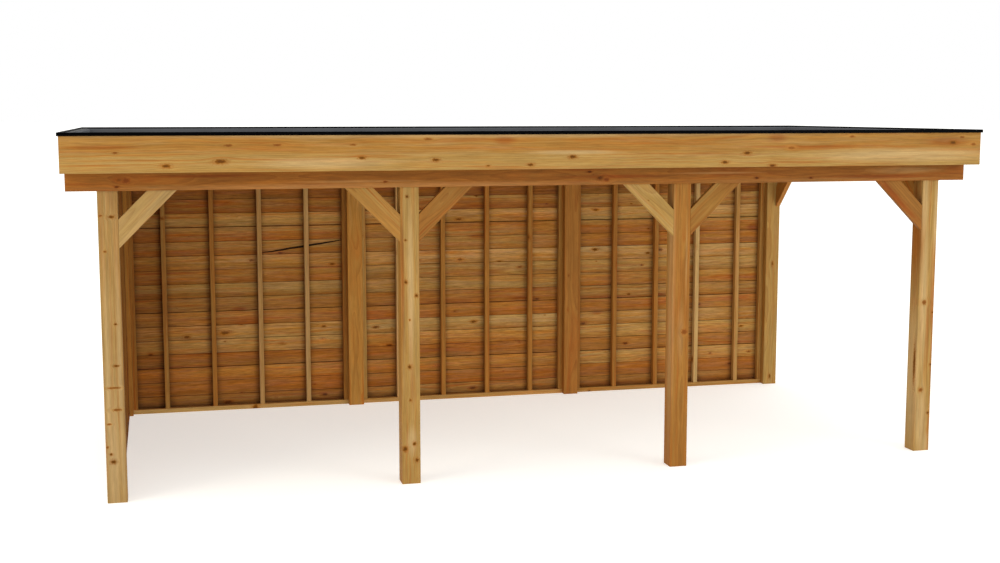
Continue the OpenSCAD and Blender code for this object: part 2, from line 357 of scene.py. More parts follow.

# Sawn boards: darker towards each lower edge, and painted shade in corners and at the back wall's
# closed end.
LOWER_FADE = 0.11                  # metres over which a board grows darker to its lower edge
LOWER_FADE_TAKES = 0.16            # share of light that the lower edge has lost
BOARD_TOP = 1.04                 # lightness of its upper edge
LOWER_EDGE_LIGHT = 0.5                # light that the darker strip along the lower edge leaves
CORNER_SHADE_REACH = 0.08              # metres from a corner over which its painted shade reaches
END_SHADE_RUN = 0.7                  # metres from the closed end over which painted shade darkens the wall
END_SHADE_TAKES = 0.2              # share of light that the painted shade at the closed end takes
DARKENED_WARMTH = 0.5                 # warmth that the painted shade at the closed end and the darker lower edge add

SMOOTH = {"interpolation_type": "SMOOTHSTEP"}


def push_aside(add, offset, away, radius):
    """How far the grain is pushed aside round a knot."""
    pull = add("MapRange", {"Value": away, "From Min": 0.3, "From Max": 4.0,
                            "To Min": -PUSH * radius, "To Max": 0.0}, **SMOOTH)[0]
    return add("VectorMath", {0: offset, "Scale": pull}, operation="SCALE")[0]


def placed_spots(add, place, spots):
    """Distance to the nearest of some spots, in radii, and how far they push the grain aside."""
    nearest, push = None, None
    for along, across, depth, radius, stretch in spots:
        scale = Vector((1 / (stretch * radius), 1 / radius, KNOT_DEEP / radius))
        centre = Vector((along, across, depth))
        offset = add("VectorMath", (place, scale, -centre * scale), operation="MULTIPLY_ADD")[0]
        away = add("VectorMath", (offset,), operation="LENGTH")[1]
        bend = push_aside(add, offset, away, radius)
        if nearest is None:
            nearest, push = away, bend
        else:
            nearest = add("Math", (nearest, away), operation="MINIMUM")[0]
            push = add("VectorMath", (push, bend), operation="ADD")[0]
    return nearest, push


def scattered_knots(add, log, radius):
    """Knots of up to a radius at random places in the log: the same two results."""
    cell = Vector(KNOT_CELL)
    spot = add("VectorMath", (log, cell), operation="DIVIDE")[0]
    cells = add("TexVoronoi", {"Vector": spot, "Scale": 1.0, "Randomness": 1.0},
                voronoi_dimensions="3D", feature="F1")
    offset = add("VectorMath", (spot, cells["Position"]), operation="SUBTRACT")[0]
    luck = add("SeparateColor", (cells["Color"],))[0]
    # A third of the cells have next to no knot.
    size = add("MapRange", {"Value": luck, "From Min": 0.35, "From Max": 1.0,
                            "To Min": radius * 0.05, "To Max": radius})[0]
    shaped = add("VectorMath", (offset, cell * Vector((1 / STRETCH, 1, KNOT_DEEP))),
                 operation="MULTIPLY")[0]
    span = add("VectorMath", (shaped,), operation="LENGTH")[1]
    away = add("Math", (span, size), operation="DIVIDE")[0]
    return away, push_aside(add, shaped, away, 1.0)


def knot_layers(add, wood, finish, cut, log, spots_at):
    """Every kind of knot in a timber: its distance, its push on the grain, and its three colours."""
    dead = (wood.knot, wood.knot_rim, wood.streak)
    sound = (wood.branch, wood.branch_rim, wood.heartwood)
    layers = []
    if finish.knots:
        layers.append((*scattered_knots(add, log, finish.knots), dead))
    for spots, colours in ((cut.knots, dead), (cut.branches, sound)):
        if spots:
            layers.append((*placed_spots(add, spots_at, spots), colours))
    return layers


def draw_knots(add, body, away, core, rim, halo):
    """Lays knots over the wood's colour: a dark core, a softer rim and a stained halo."""
    stain = add("MapRange", {"Value": away, "From Min": 2.6, "From Max": 1.0, "To Max": 0.4},
                **SMOOTH)[0]
    body = add("Mix", {0: stain, 6: body, 7: halo}, data_type="RGBA")[2]
    inside = add("ValToRGB", (away,), stops=[(0.0, core), (0.5, core), (1.0, rim)])[0]
    cover = add("MapRange", {"Value": away, "From Min": 1.5, "From Max": 0.7}, **SMOOTH)[0]
    return add("Mix", {0: cover, 6: body, 7: inside}, data_type="RGBA")[2]


def draw_stains(add, wood, cut, spots_at, body):
    """Lays resin and pale wood over the colour, and says how much lighter that makes it."""
    lift = 1.0
    # Each kind has the most that it covers, and the share by which it lightens the wood there.
    for spots, tint, most, lighter in ((cut.resin, wood.streak, 0.8, 0.0),
                                       (cut.pale, wood.cream, 0.6, 0.06)):
        if spots:
            away = placed_spots(add, spots_at, spots)[0]
            share = add("MapRange", {"Value": away, "From Min": 1.3, "From Max": 0.3}, **SMOOTH)[0]
            cover = add("Math", (share, most), operation="MULTIPLY")[0]
            body = add("Mix", {0: cover, 6: body, 7: tint}, data_type="RGBA")[2]
            lift = add("Math", (share, lighter, lift), operation="MULTIPLY_ADD")[0]
    return body, lift


def trunk_place(add, log):
    """Distance from the pith, and along it, in a trunk that isn't quite straight."""
    slow = add("VectorMath", (log, SWEEP), operation="MULTIPLY")[0]
    bends = add("TexNoise", {"Vector": slow, "Scale": 1.0, "Detail": 3.0})[1]
    shift = add("VectorMath", (bends, (0, 2 * WANDER, 2 * WANDER), (0, -WANDER, -WANDER)),
                operation="MULTIPLY_ADD")[0]
    trunk = add("VectorMath", (log, shift), operation="ADD")[0]
    flat = add("VectorMath", (trunk, (0, 1, 1)), operation="MULTIPLY")[0]
    radius = add("VectorMath", (flat,), operation="LENGTH")[1]
    return radius, add("SeparateXYZ", (trunk,))[0]


def grown_wood(add, wood, heart_radius, radius, along):
    """Colour of the clear wood, with the bands' own noise and how late in the year it grew."""
    depth_in = add("Math", (heart_radius, radius), operation="SUBTRACT")[0]
    heart = add("MapRange", {"Value": depth_in, "From Min": -HEART_EDGE, "From Max": HEART_EDGE},
                **SMOOTH)[0]
    body = add("Mix", {0: heart, 6: wood.sapwood, 7: wood.heartwood}, data_type="RGBA")[2]

    # Resinous bands follow the rings, and change slowly along the trunk.
    band_at = add("CombineXYZ", (
        add("Math", (radius, BANDS_OUT), operation="MULTIPLY")[0],
        add("Math", (along, BANDS_ALONG), operation="MULTIPLY")[0]))[0]
    band = add("TexNoise", {"Vector": band_at, "Scale": 1.0, "Detail": 4.0, "Roughness": 0.6},
               noise_dimensions="2D")
    dark = add("MapRange", {"Value": band[0], "From Min": 0.5, "From Max": 0.75, "To Max": 0.85})[0]
    body = add("Mix", {0: dark, 6: body, 7: wood.streak}, data_type="RGBA")[2]

    # Growth rings: pale early wood that darkens to a sharp line.
    count = add("Math", (radius, wood.ring), operation="DIVIDE")[0]
    year = add("Math", (count,), operation="FRACT")[0]
    late = add("Math", (year, LATE_POWER), operation="POWER")[0]
    late_share = add("Math", (late, LATE_SHARE), operation="MULTIPLY")[0]
    body = add("Mix", {0: late_share, 6: body, 7: wood.latewood}, data_type="RGBA")[2]
    return body, add("SeparateColor", (band[1],)), late


def around_one(add, value, spread):
    """Turns a noise's value into a factor that lies about 1."""
    return add("MapRange", {"Value": value, "From Min": 0.3, "From Max": 0.7,
                            "To Min": 1 - spread, "To Max": 1 + spread})[0]


def painted_shade_and_lower_fade(add, finish, place, wall_x):
    """Painted shade in a board's corners and at the back wall's closed end, and a darker lower edge on
    each
    board: shares of light that they leave, and places that they make warmer. wall_x is the way along
    the back wall, where there is one."""
    light, warm = [], []
    if finish.lower_edge_dark:
        # Each board grows darker and warmer towards its lower edge, with a darker strip right along it.
        across = add("SeparateXYZ", (place,))[1]
        low_down = add("MapRange", {"Value": across, "From Max": LOWER_FADE,
                                    "To Min": 1.0, "To Max": 0.0}, **SMOOTH)[0]
        light.append(add("Math", (low_down, -LOWER_FADE_TAKES, BOARD_TOP),
                         operation="MULTIPLY_ADD")[0])
        light.append(add("MapRange", {"Value": across, "From Max": finish.lower_edge_dark,
                                      "To Min": LOWER_EDGE_LIGHT, "To Max": 1.0}, **SMOOTH)[0])
        warm.append(low_down)
    if finish.corner_shade:
        # Painted shade: an ambient occlusion node darkens the corners, such as those beside the studs.
        unoccluded = add("AmbientOcclusion", {"Distance": CORNER_SHADE_REACH}, samples=8)["AO"]
        light.append(add("MapRange", {"Value": unoccluded, "From Min": 0.4, "From Max": 0.9,
                                      "To Min": 1 - finish.corner_shade})[0])
    if wall_x is not None:
        # Painted shade: the back wall grows darker and warmer towards its closed end.
        closed_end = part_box("cladding_back_1")[0].x
        end_shade = add("MapRange", {"Value": wall_x, "From Min": closed_end,
                                   "From Max": closed_end + END_SHADE_RUN,
                                   "To Min": 1.0, "To Max": 0.0}, **SMOOTH)[0]
        light.append(add("Math", (end_shade, -END_SHADE_TAKES, 1.0), operation="MULTIPLY_ADD")[0])
        warm.append(end_shade)
    return light, warm


def douglas_fir(name, wood, finish, cut=None, whole_wall=False):
    """Douglas fir. Straw sapwood round orange heartwood, thin dark latewood lines, long resinous
    bands, and warm brown knots that the grain flows round. On a whole wall the cut's spots are placed
    by the frame's (x, z, y), and on a piece by its own (along, across, depth)."""
    material, add = new_material(name)
    cut = cut or Cut()
    place = add("Attribute", attribute_name="place")["Vector"]
    log = add("Attribute", attribute_name="log")["Vector"]
    heart, shade, warmth = add("SeparateXYZ", (add("Attribute", attribute_name="tone")["Vector"],))
    dirt = add("Attribute", attribute_name="dirt")["Fac"]
    spots_at, wall_x = place, None
    if whole_wall:
        wall_x, wall_y, wall_z = add("SeparateXYZ", (add("TexCoord")["Object"],))
        spots_at = add("CombineXYZ", (wall_x, wall_z, wall_y))[0]

    knots = knot_layers(add, wood, finish, cut, log, spots_at)
    for _, push, _ in knots:
        across_only = add("VectorMath", (push, (0, 1, 1)), operation="MULTIPLY")[0]
        log = add("VectorMath", (log, across_only), operation="ADD")[0]
    body, bands, late = grown_wood(add, wood, heart, *trunk_place(add, log))
    body, lift = draw_stains(add, wood, cut, spots_at, body)

    fine = add("VectorMath", (log, FIBRES), operation="MULTIPLY")[0]
    fibre = add("TexNoise", {"Vector": fine, "Scale": 1.0, "Detail": 3.0, "Roughness": 0.7})[0]
    broad = add("VectorMath", (log, STREAKS), operation="MULTIPLY")[0]
    streaks = add("SeparateColor", (
        add("TexNoise", {"Vector": broad, "Scale": 1.0, "Detail": 4.0, "Roughness": 0.65})[1],))
    light, warm = painted_shade_and_lower_fade(add, finish, place, wall_x)

    # Each piece has its own lightness and warmth, which vary over it. Painted shade in corners, at the
    # wall's closed end and in the split darkens the sawn boards further.
    shade = add("Math", (shade, 1.0), operation="ADD")[0]
    clean_and_lit = add("Math", (1.0, dirt), operation="SUBTRACT")[0]
    for share in (clean_and_lit, lift, around_one(add, bands[0], BAND_SPREAD),
                  around_one(add, fibre, finish.mottle), around_one(add, streaks[0], finish.patch),
                  *light):
        shade = add("Math", (shade, share), operation="MULTIPLY")[0]
    mood = add("Math", (streaks[1], bands[1]), operation="ADD")[0]
    sway = add("MapRange", {"Value": mood, "From Min": 0.6, "From Max": 1.4,
                            "To Min": -SWAY * finish.patch, "To Max": SWAY * finish.patch})[0]
    warmth = add("Math", (warmth, sway), operation="ADD")[0]
    for part in warm:
        warmth = add("Math", (part, DARKENED_WARMTH, warmth), operation="MULTIPLY_ADD")[0]

    coolness = add("Math", (warmth, -CREAM_SHARE), operation="MULTIPLY")[0]
    body = add("Mix", {0: coolness, 6: body, 7: wood.cream}, data_type="RGBA")[2]
    # The knots lie over all of this, with ragged edges.
    edge_at = add("VectorMath", {0: place, "Scale": TORN_EDGES}, operation="SCALE")[0]
    torn = add("TexNoise", {"Vector": edge_at, "Scale": 1.0, "Detail": 1.0})[0]
    for away, _, colours in knots:
        away = add("Math", (away, around_one(add, torn, TORN_SPREAD)), operation="MULTIPLY")[0]
        body = draw_knots(add, body, away, *colours)
    body = add("Mix", {0: warmth, 6: body, 7: wood.ruddy}, data_type="RGBA",
               blend_type="MULTIPLY")[2]
    if finish.weather:
        grey = add("MapRange", {"Value": streaks[2], "From Min": 0.42, "From Max": 0.66,
                                "To Max": finish.weather})[0]
        body = add("Mix", {0: grey, 6: body, 7: wood.weathered}, data_type="RGBA")[2]
    final = add("VectorMath", {0: body, "Scale": shade}, operation="SCALE")[0]

    height = add("Math", (late, fibre, 0.6), operation="MULTIPLY_ADD")[0]
    surface(add, height, finish.relief, Base_Color=final, Roughness=finish.roughness, IOR=1.5,
            Specular_IOR_Level=0.12)
    return material


def epdm_rubber(roof):
    """EPDM rubber sheet, calendered: matt charcoal with a chalky bloom and dried rain marks."""
    material, add = new_material("EPDM rubber sheet")
    at = add("TexCoord")["Object"]
    # Rain marks are about 450 mm across, and the calender's grain is drawn 4 mm wide so that it shows.
    marks = add("TexNoise", {"Vector": at, "Scale": 2.2, "Detail": 6.0, "Roughness": 0.65})[0]
    bloom = add("MapRange", {"Value": marks, "From Min": 0.42, "From Max": 0.68})[0]
    grain = add("TexNoise", {"Vector": at, "Scale": 260.0, "Detail": 2.0})[0]
    final = add("Mix", {0: bloom, 6: roof.rubber, 7: roof.dust}, data_type="RGBA")[2]
    surface(add, grain, 0.0004, Base_Color=final, Roughness=0.85, IOR=1.5, Specular_IOR_Level=0.15)
    return material


def coated_aluminium(roof):
    """Aluminium, extruded and powder coated black: even satin gloss with a fine orange peel."""
    material, add = new_material("powder coated aluminium")
    at = add("TexCoord")["Object"]
    # The orange peel is 2.4 mm across, and handling has dulled the gloss in patches of 110 mm.
    peel = add("TexNoise", {"Vector": at, "Scale": 420.0, "Detail": 1.0})[0]
    wear = add("TexNoise", {"Vector": at, "Scale": 9.0, "Detail": 4.0})[0]
    rough = add("MapRange", {"Value": wear, "To Min": 0.3, "To Max": 0.48})[0]
    surface(add, peel, 0.0002, Base_Color=roof.coating, Roughness=rough, IOR=1.5,
            Specular_IOR_Level=0.02)
    return material


def painted_floor(stage):
    """Studio floor, painted white and rolled: matt, with next to no tone of its own."""
    material, add = new_material("painted studio floor")
    surface(add, Base_Color=stage.floor, Roughness=0.9, IOR=1.45,
            Emission_Color=stage.floor, Emission_Strength=stage.glow)
    return material


# ---- Timber frame ----

def mm(*spots):
    """Spots written in millimetres, as a Cut takes them: in metres, but for the stretch."""
    return [(*(size / 1000 for size in spot[:-1]), spot[-1]) for spot in spots]


# How each front post was cut from its log, with the spots on its front and left faces: along is the
# height, across is from the left side, and depth is from the front.
FRONT_POSTS = {
    "post_front_1": Cut(
        pith=(0.17, 0.03), heart=0.05, shade=-0.16, warmth=-0.6,
        knots=mm((1390, 105, 0, 10, 0.7), (1070, 100, 0, 18, 0.4), (325, 55, 0, 18, 0.7),
                 (385, 40, 0, 10, 0.8), (2205, 100, 20, 20, 0.5)),
        branches=mm((2215, 20, 0, 12, 0.6), (1945, 45, 0, 10, 0.8), (900, 75, 0, 45, 0.15),
                    (730, 95, 0, 30, 0.3), (620, 30, 0, 16, 0.4), (440, 15, 0, 9, 1.0)),
        resin=mm((1850, 70, 100, 36, 9.0), (2350, 100, 50, 24, 7.0), (1500, 100, 30, 12, 80.0)),
        # The pale strip at 125 mm across is a painted highlight of light on the right chamfer; the
        # others are pale wood.
        pale=mm((300, 60, 0, 45, 12.0), (900, 35, 0, 20, 45.0), (900, 125, 0, 19, 55.0))),
    "post_front_2": Cut(
        pith=(-0.03, 0.04), heart=0.065, shade=-0.04, warmth=-0.1,
        knots=mm((2325, 55, 0, 9, 1.0), (1980, 40, 0, 9, 0.7), (1645, 40, 0, 12, 1.1),
                 (1535, 125, 0, 12, 1.0), (960, 65, 0, 13, 1.1), (330, 100, 0, 13, 1.0),
                 (290, 25, 0, 17, 1.0), (195, 120, 0, 13, 1.0)),
        branches=mm((690, 70, 0, 10, 1.0), (1340, 70, 0, 8, 1.0)),
        resin=mm((290, 25, 0, 22, 1.4), (1700, 15, 0, 14, 45.0), (800, 90, 70, 32, 8.0)),
        pale=mm((1600, 80, 0, 28, 25.0), (350, 80, 0, 45, 3.0))),
    "post_front_3": Cut(
        pith=(0.09, 0.05), heart=0.14, shade=-0.1, warmth=0.35,
        branches=mm((1155, 110, 0, 28, 0.8)),
        pale=mm((1150, 75, 90, 40, 9.0), (1500, 5, 50, 25, 50.0), (1750, 120, 25, 12, 40.0))),
    "post_front_4": Cut(
        pith=(0.18, 0.09), heart=0.1, shade=-0.01, warmth=-0.1,
        knots=mm((1240, 138, 0, 9, 1.0), (775, 140, 0, 10, 1.0), (340, 130, 0, 11, 1.0),
                 (775, 0, 35, 5, 28.0)),
        branches=mm((1330, 55, 0, 20, 0.9), (550, 50, 0, 18, 0.9)),
        resin=mm((1900, 0, 80, 50, 9.0), (1300, 130, 0, 20, 12.0), (1000, 145, 20, 12, 60.0),
                 (1000, 100, 20, 13, 35.0)),
        pale=mm((1400, 45, 30, 40, 20.0), (280, 60, 0, 60, 6.0), (2200, 30, 0, 35, 12.0),
                (2100, 135, 0, 20, 18.0), (700, 0, 80, 45, 16.0), (50, 110, 0, 30, 5.0))),
}

# The two outer timbers of the front: along is from the left end, and across is the height above
# the lower edge.
FRONT_FASCIA = Cut(
    pith=(0.3, 0.11), heart=0.2, shade=-0.04, warmth=-0.05,
    knots=mm((755, 50, 0, 12, 2.4), (1150, 80, 0, 15, 2.6), (2210, 100, 0, 10, 2.4),
             (2785, 80, 0, 11, 2.4), (3545, 35, 0, 10, 2.4), (3890, 95, 0, 12, 2.4),
             (5185, 40, 0, 11, 2.4), (5380, 115, 0, 12, 2.4), (5605, 10, 0, 11, 2.4),
             (7265, 190, 0, 14, 2.2), (3200, 30, 0, 6, 2.4)),
    branches=mm((1210, 200, 0, 9, 3.5), (1575, 200, 0, 9, 3.5), (2725, 240, 0, 10, 3.0),
                (2145, 200, 0, 8, 3.0), (5775, 155, 0, 13, 2.4), (6320, 245, 0, 10, 2.4),
                (7350, 235, 0, 9, 2.4), (7460, 175, 0, 11, 2.4), (395, 150, 0, 8, 2.4)),
    resin=mm((3335, 230, 0, 45, 2.0), (5645, 240, 0, 45, 2.0), (5900, 165, 0, 8, 80.0),
             (300, 190, 0, 18, 18.0), (7200, 200, 0, 40, 6.0)),
    pale=mm((1900, 60, 20, 45, 12.0), (3900, 130, 0, 20, 20.0), (6800, 90, 50, 60, 16.0),
            (3000, 275, 0, 30, 95.0)))
FRONT_BEAM = Cut(
    pith=(0.09, 0.11), heart=0.25, shade=-0.22, warmth=1.05,
    knots=mm((395, 80, 20, 14, 2.2), (370, 30, 0, 8, 2.2), (4075, 105, 0, 9, 2.2),
             (4165, 55, 30, 20, 2.0), (5540, 40, 0, 9, 2.2), (6035, 35, 0, 7, 2.2)),
    branches=mm((440, 75, 0, 20, 1.6), (4220, 40, 0, 16, 1.6), (2400, 45, 0, 8, 2.2)),
    resin=mm((1000, 105, 0, 14, 35.0), (4300, 65, 0, 16, 30.0), (6700, 40, 0, 20, 28.0)),
    # The long pale strips 15 mm above the lower edge are a painted highlight along it; the other pale
    # spots are the wood's own.
    pale=mm((2400, 15, 40, 30, 90.0), (2200, 50, 0, 12, 45.0), (6900, 90, 0, 30, 12.0),
            (6000, 15, 70, 30, 60.0), (5200, 85, 0, 10, 40.0)))

# Lightness and warmth of the back posts, and of the knee braces: front ones from the left, then the two
# of the open side.
BACK_POST_TONES = {
    "post_back_1": (0.40, 0.3), "post_back_2": (0.50, 0.0), "post_back_3": (0.05, 1.2),
    "post_back_4": (0.10, 0.0),
}
BRACE_TONES = {
    "brace_front_1": (-0.1, -0.8), "brace_front_2": (-0.05, 0.3), "brace_front_3": (-0.25, 1.0),
    "brace_front_4": (0.05, -0.2), "brace_front_5": (-0.2, 0.2), "brace_front_6": (-0.25, 1.5),
    "brace_right_1": (0.05, 1.1), "brace_right_2": (0.1, 0.5),
}
# The same for the six studs of each bay of the back wall, from the left.
STUD_TONES = {
    "studs_back_1": ((0.1, 0.4), (0.15, 0.6), (0.15, 0.5), (0.3, -0.8), (0.3, -1.0), (0.1, 0.4)),
    "studs_back_2": ((0.3, 0.0), (0.5, -1.1), (0.15, 0.4), (0.25, 0.3), (0.15, 0.3), (0.1, 0.4)),
    "studs_back_3": ((0.1, 0.4), (0.05, 0.4), (0.1, 0.5), (0.35, -1.0), (0.2, -0.4), (0.1, 0.4)),
}
# The same for the plates of the back wall's three bays.
PLATE_TONES = {
    "sole_plates_back": ((0.5, -0.5), (0.45, -0.4), (0.2, -0.3)),
    "top_plates_back": ((0.1, 0.0), (0.1, 0.2), (0.1, 0.0)),
}


class VERANDA_OT_posts(bpy.types.Operator):
    """Dresses the eight square posts"""
    bl_idname = "veranda.posts"
    bl_label = "Posts"

    def execute(self, context):
        wood = context.scene.veranda_wood
        plain = douglas_fir("Douglas fir, planed", wood, PLANED)
        for node, cut in FRONT_POSTS.items():
            own = douglas_fir(f"Douglas fir, planed, {node}", wood, PLANED_FRONT, cut)
            timber(node, own, "posts_and_braces", wood.post_arris, cut)
        for node, (shade, warmth) in BACK_POST_TONES.items():
            timber(node, plain, "posts_and_braces", wood.post_arris,
                   shade=shade, warmth=warmth, spread=0.0)
        return {"FINISHED"}


class VERANDA_OT_beams(bpy.types.Operator):
    """Dresses the front, back and side beams"""
    bl_idname = "veranda.beams"
    bl_label = "Beams"

    def execute(self, context):
        wood = context.scene.veranda_wood
        own = douglas_fir("Douglas fir, planed, front beam", wood, PLANED_BEAM, FRONT_BEAM)
        plain = douglas_fir("Douglas fir, planed, beams", wood, PLANED)
        timber("beam_front", own, "beams", wood.post_arris, FRONT_BEAM)
        piths = {"beam_back": (0.09, 0.12), "beam_left": (0.05, 0.1), "beam_right": (0.1, 0.1)}
        for node, pith in piths.items():
            cut = Cut(pith=pith, heart=0.25, shade=-0.2, warmth=0.7)
            timber(node, plain, "beams", wood.post_arris, cut)
        return {"FINISHED"}


class VERANDA_OT_braces(bpy.types.Operator):
    """Dresses the knee braces, whose grain runs at 45 degrees"""
    bl_idname = "veranda.braces"
    bl_label = "Knee braces"

    def execute(self, context):
        wood = context.scene.veranda_wood
        material = douglas_fir("Douglas fir, planed, braces", wood, PLANED)
        for node, (shade, warmth) in BRACE_TONES.items():
            rng = random.Random(f"{node} log")
            cut = Cut(pith=(rng.uniform(0.0, 0.15), rng.uniform(0.07, 0.12)),
                      heart=rng.uniform(0.04, 0.16), shade=shade, warmth=warmth)
            timber(node, material, "posts_and_braces", wood.post_arris, cut, brace_turn(node))
        return {"FINISHED"}


def brace_turn(node):
    """The rotation that lays a brace along X or Y, so that its grain can be measured."""
    run = ALONG_Y if node.startswith("brace_right") else ALONG_X
    low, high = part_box(node)
    foot = min(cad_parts[node].data.vertices, key=lambda v: round(v.co.z, 4)).co
    slope = math.radians(45 if foot[run] < (low[run] + high[run]) / 2 else -45)
    if run == ALONG_Y:
        return Matrix.Rotation(-slope, 3, "X")
    return Matrix.Rotation(slope, 3, "Y")


class VERANDA_OT_wall_frames(bpy.types.Operator):
    """Dresses the plates and studs of the two boarded walls"""
    bl_idname = "veranda.wall_frames"
    bl_label = "Wall frames"

    def execute(self, context):
        wood = context.scene.veranda_wood
        material = douglas_fir("Douglas fir, planed, studs", wood, PLANED)
        for node, tones in {**PLATE_TONES, **STUD_TONES}.items():
            timber(node, material, "framing", wood.framing_arris, tones=tones)
        for node in ("sole_plate_left", "top_plate_left", "studs_left"):
            timber(node, material, "framing", wood.framing_arris, shade=-0.2, warmth=1.1)
        return {"FINISHED"}


# ---- Wall boards ----

# Lightness and warmth of the back wall's boards from the ground up: each row is one long board, sawn to
# the bays, so that its pieces match.
# The darker, redder top rows are partly painted shade under the roof.
ROW_TONES = (
    (-0.20, 0.7), (-0.10, 1.1), (0.15, 0.2), (-0.12, 1.2), (0.20, 0.1), (0.15, -0.3),
    (0.0, 0.7), (-0.10, 0.4), (0.0, 0.0), (0.0, 0.2), (0.25, -0.4), (0.05, 0.4),
    (0.10, 0.4), (0.30, -0.2), (-0.05, 0.4), (-0.30, 1.4), (-0.15, 1.15),
)
BAY_TONES = {1: (0.30, 0.15), 2: (0.25, 0.0), 3: (0.15, 0.0)}    # what each bay adds to its rows
OPEN_JOINTS = {3: 0.6, 7: 0.4, 13: 2.0}      # dried open under these boards, in shares of the play
TIGHT_JOINTS = (-1.6, -0.8)                  # how far the others have closed, in the same
SPLIT = ((-2.10, 1.575), (-1.24, 1.695))     # a drying split in the first bay, (x, z) of its ends
SPLIT_WIDTH = 0.021
SPLIT_DEPTH = 0.009
SPLIT_STEPS = 14                             # points along each lip of the split
SPLIT_SWING = 0.006                          # metres that it swings to either side, at most
SPLIT_SWINGS = 9                             # how often it does
SPLIT_SHADE = 0.9                             # share of light that the painted shade in it takes
CLEAR = 0.0005                               # metres that tell its inside from the boards' face
WALL_FACE = 1650                             # y near the boards' inner face, in millimetres


def on_wall(*spots):
    """Spots on the back wall's inner face, written in millimetres as (x, z, radius, stretch)."""
    return mm(*((x, z, WALL_FACE, radius, stretch) for x, z, radius, stretch in spots))


# The larger knots and stains of the back wall.
WALL_SPOTS = Cut(
    knots=on_wall((-2455, 780, 18, 2.6), (-2830, 750, 13, 2.4), (-2440, 70, 16, 2.6),
                  (-1365, 1450, 11, 2.4), (-1460, 810, 10, 2.2), (-1460, 100, 12, 2.2),
                  (-1890, 1575, 10, 2.2), (-30, 1460, 13, 2.4), (115, 800, 14, 2.2),
                  (-40, 1880, 11, 2.8), (-925, 780, 13, 2.2), (-785, 585, 13, 2.6),
                  (105, 90, 14, 2.6), (1450, 1955, 13, 2.6), (1445, 1530, 14, 2.2),
                  (2185, 1510, 13, 2.0), (1320, 735, 15, 2.0)),
    resin=on_wall((3260, 1735, 50, 1.6), (-2310, 1015, 25, 3.5), (620, 1035, 20, 9.0),
                  (150, 1700, 22, 5.0), (2180, 1025, 16, 5.0), (1475, 845, 25, 3.0)))


def loosen_joints(bm, rng, play):
    """Lets the joints between the boards differ: most are tight, and a few have dried open.
    The joint is at the rebate's edge, the second level of a board's corners."""
    boards = sorted(separate_solids(bm), key=lambda solid: min(v.co.z for v in solid))
    for index, board in enumerate(boards):
        level = sorted({round(v.co.z, 4) for v in board})[1]
        lift = play * OPEN_JOINTS.get(index, rng.uniform(*TIGHT_JOINTS))
        for vert in board:
            if abs(vert.co.z - level) < WELD * 10:
                vert.co.z += lift


def split_wedge(face):
    """The ragged wedge of air in the drying split, as a bmesh."""
    (x0, z0), (x1, z1) = SPLIT
    upper, lower = [], []
    for i in range(SPLIT_STEPS + 1):
        t = i / SPLIT_STEPS
        swing = SPLIT_SWING * noise.noise(Vector((SPLIT_SWINGS * t, 0, 0)))
        x, z = x0 + (x1 - x0) * t, z0 + (z1 - z0) * t + swing
        half = SPLIT_WIDTH / 2 * max(math.sin(math.pi * t) ** 0.5, 0.1)
        upper.append((x, z + half))
        lower.append((x, z - half))
    bm = bmesh.new()
    prism(bm, upper + lower[::-1], ALONG_Y, face - 2 * CLEAR, face + SPLIT_DEPTH)
    return bm


def cut_split(bm, face):
    """Opens the drying split in the boards' inner face."""
    solids = []
    for part in (bm, split_wedge(face)):
        mesh = bpy.data.meshes.new("split")
        part.to_mesh(mesh)
        solids.append(bpy.data.objects.new("split", mesh))
        bpy.context.scene.collection.objects.link(solids[-1])
    boards, wedge = solids
    boards.modifiers.new("split", "BOOLEAN").object = wedge
    whole = boards.evaluated_get(bpy.context.evaluated_depsgraph_get())
    bm.clear()
    bm.from_mesh(whole.to_mesh())
    for solid in solids:
        bpy.data.objects.remove(solid)


def darken_split(bm, face):
    """Paints shade into the split: it takes most of the light there."""
    dirt = bm.faces.layers.float["dirt"]
    (x0, z0), (x1, z1) = SPLIT
    for part in bm.faces:
        x, y, z = part.calc_center_median()
        inside = x0 < x < x1 and z0 - SPLIT_WIDTH < z < z1 + SPLIT_WIDTH
        if inside and CLEAR < y - face < SPLIT_DEPTH + CLEAR:
            part[dirt] = SPLIT_SHADE


class VERANDA_OT_wall_boards(bpy.types.Operator):
    """Builds the lapped boards of the back and left walls one by one"""
    bl_idname = "veranda.wall_boards"
    bl_label = "Wall boards"

    def execute(self, context):
        wood = context.scene.veranda_wood
        material = douglas_fir(
            "Douglas fir, fine sawn boards", wood, SAWN, WALL_SPOTS, whole_wall=True)
        for bay in BAYS:
            node = f"cladding_back_{bay}"
            rng = random.Random(f"{node} tones")
            lighter, warmer = BAY_TONES[bay]
            tones = [(shade + lighter + rng.uniform(-0.06, 0.06),
                      warmth + warmer + rng.uniform(-0.15, 0.15)) for shade, warmth in ROW_TONES]
            self.wall(wood, material, node, split=(bay == 1), tones=tones)
        self.wall(wood, material, "cladding_left", shade=0.15, warmth=0.3, spread=0.26)
        return {"FINISHED"}

    def wall(self, wood, material, node, split=False, **grain):
        rng = random.Random(node)
        bm = cad_solids(node)
        loosen_joints(bm, rng, wood.board_play)
        ease(bm, wood.board_arris, 1)
        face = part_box(node)[0].y
        if split:
            cut_split(bm, face)
        lay_grain(bm, rng, **grain)
        if split:
            darken_split(bm, face)
        piece(f"{node}_boards", bm, material, "wall_boards", node)


# ---- Roof ----

RAFTER_GAPS = 12            # spaces between the rafters
JOINT_RAFTERS = (4, 7)      # the rafters under the roof boards' butt joints, by turns from row to row
ROOF_GAP = 0.0008           # metres between two roof boards
SHEET_COLUMNS, SHEET_ROWS = 96, 48
FOLD_STEPS = 4
FLAT_RUN = 0.02             # metres of flat sheet at its rim and after the folds


